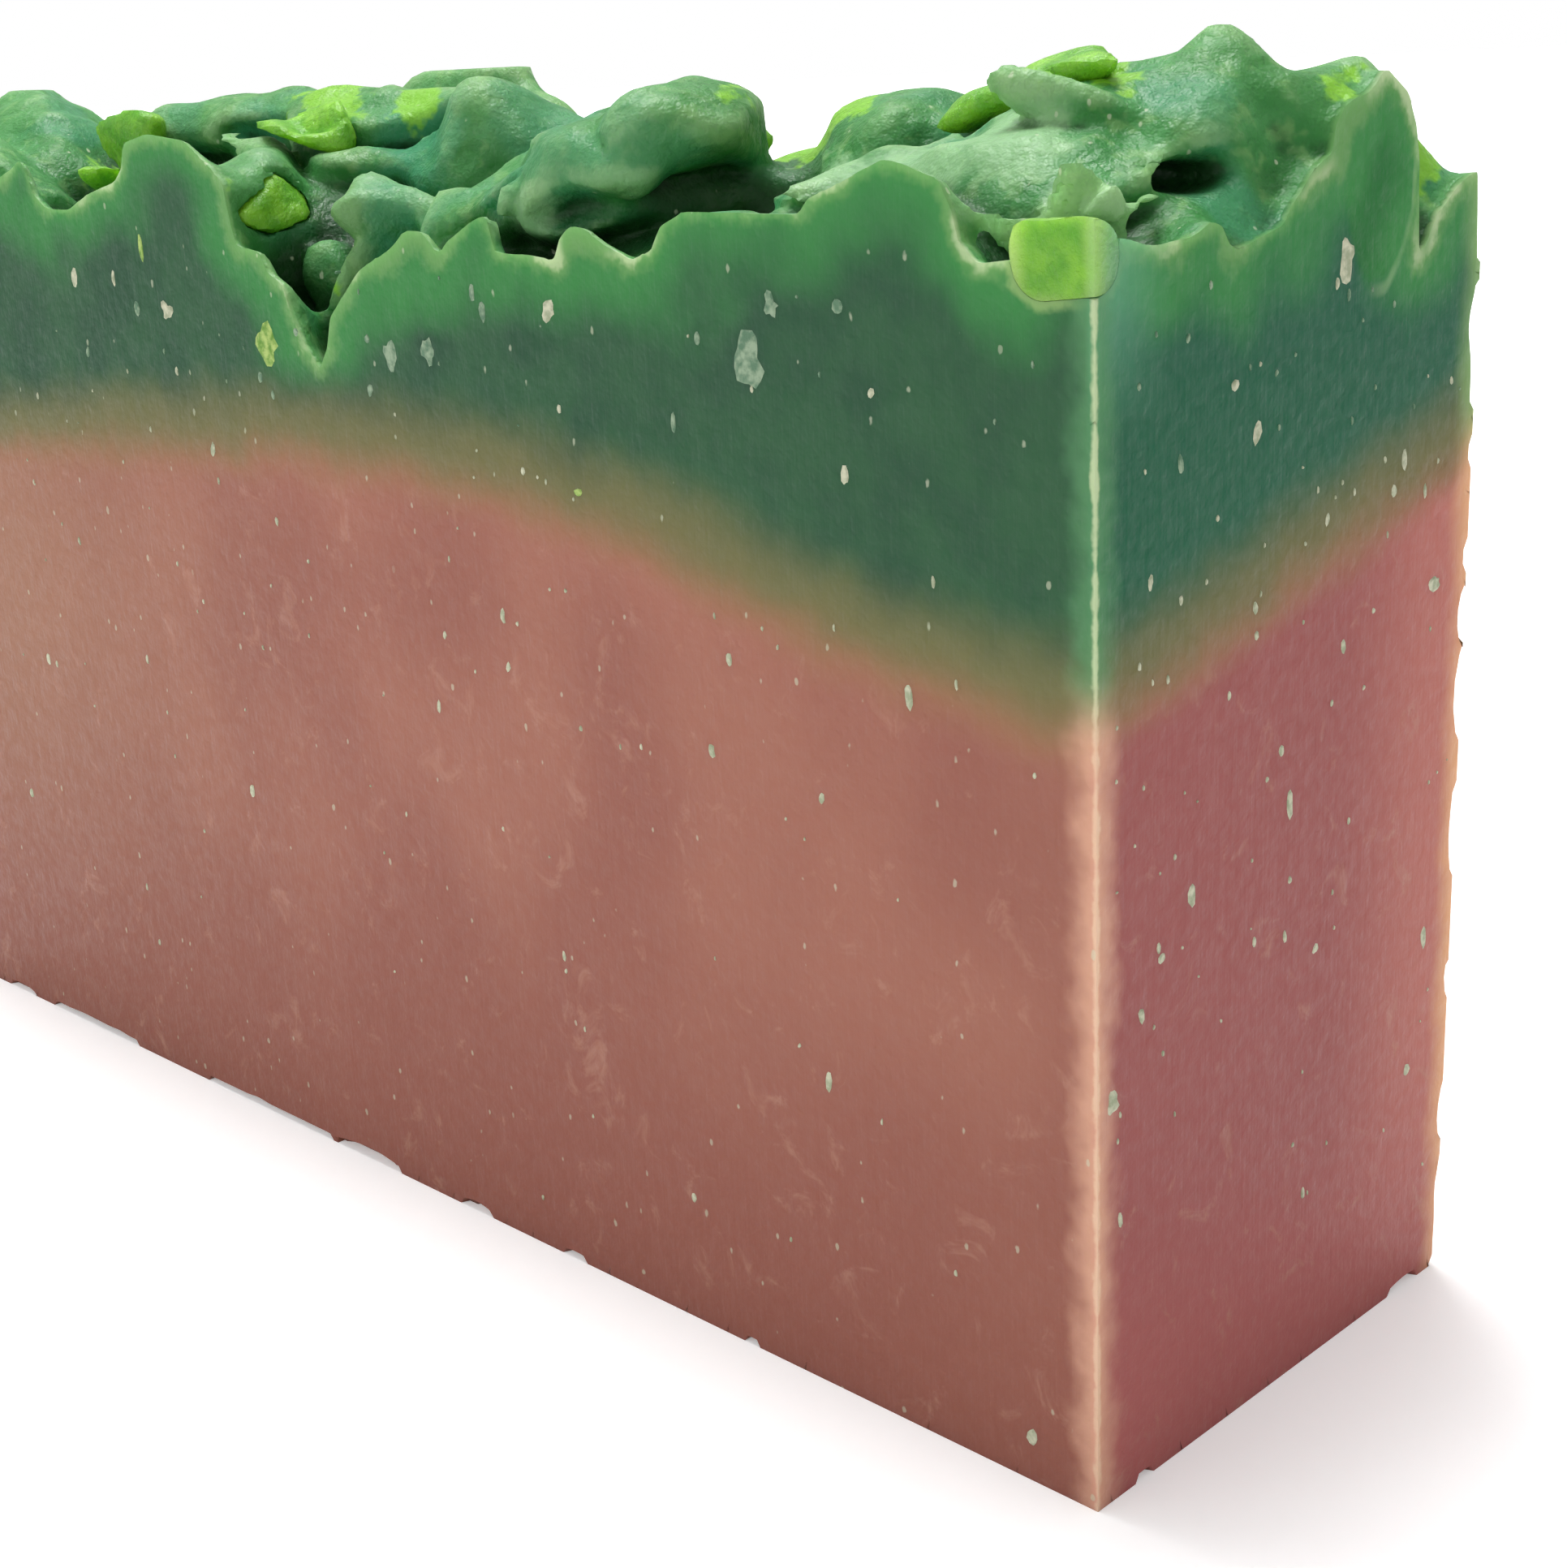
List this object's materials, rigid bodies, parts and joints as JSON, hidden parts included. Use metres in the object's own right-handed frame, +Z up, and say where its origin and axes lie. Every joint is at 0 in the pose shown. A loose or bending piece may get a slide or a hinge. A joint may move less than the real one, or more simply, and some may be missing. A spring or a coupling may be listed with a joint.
{
  "type": "bar of soap",
  "caption": "Hand-cut bar of two-layer soap: dusty-pink base and craggy spooned green crest with lime chunks.",
  "frame": {"origin": "centre of the bar's flat underside", "axes": "+X along the bar, +Y across its thickness away from the wide front face, +Z up towards the crest"},
  "size_m": [0.094, 0.026, 0.0554],
  "materials": {
    "pink_soap": "waxy soap, knife-cut",
    "green_soap": "waxy soap, knife-cut and spooned",
    "lime_soap": "waxy soap"
  },
  "bodies": {
    "root": {"pink_base": "pink_soap", "green_top": "green_soap", "lime_chunk_corner": "lime_soap", "lime_chunk_left": "lime_soap", "lime_chunk_crown": "lime_soap", "lime_chunk_middle": "lime_soap", "lime_chunk_valley": "lime_soap", "lime_chunk_ridge": "lime_soap"}
  },
  "joints": []
}
